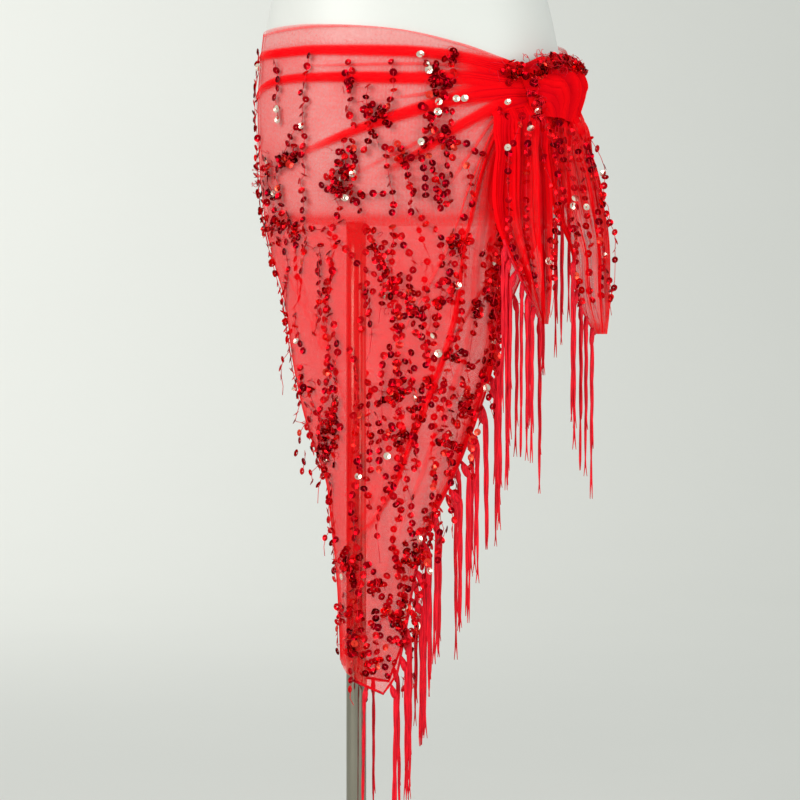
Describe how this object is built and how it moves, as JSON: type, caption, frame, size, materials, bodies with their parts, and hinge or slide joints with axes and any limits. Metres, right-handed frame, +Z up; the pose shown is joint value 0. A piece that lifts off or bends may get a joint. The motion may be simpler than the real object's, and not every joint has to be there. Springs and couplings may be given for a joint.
{
  "type": "sequin hip scarf on a limbless dress form",
  "caption": "Triangular net hip scarf with knotted fringe, tied at one hip of a smooth limbless dress form on a pole stand with a round base.",
  "frame": {"origin": "centre of the round base's flat underside, on the floor and on the pole's axis", "axes": "+Z up along the pole, -Y is the way the form faces, +X is the form's left side, where the knot is"},
  "size_m": [0.4357, 0.34, 1.52],
  "materials": {
    "net": "sheer matte net",
    "fringe": "soft twisted yarn",
    "form": "satin",
    "pole": "polished",
    "base": "satin"
  },
  "bodies": {
    "root": {"hip_wrap": "net", "knot": "net", "front_tail": "net", "rear_tail": "net", "fringe_front": "fringe", "fringe_back": "fringe", "fringe_front_tail": "fringe", "fringe_rear_tail": "fringe", "form_body": "form", "stand_pole": "pole", "stand_base": "base"}
  },
  "joints": []
}
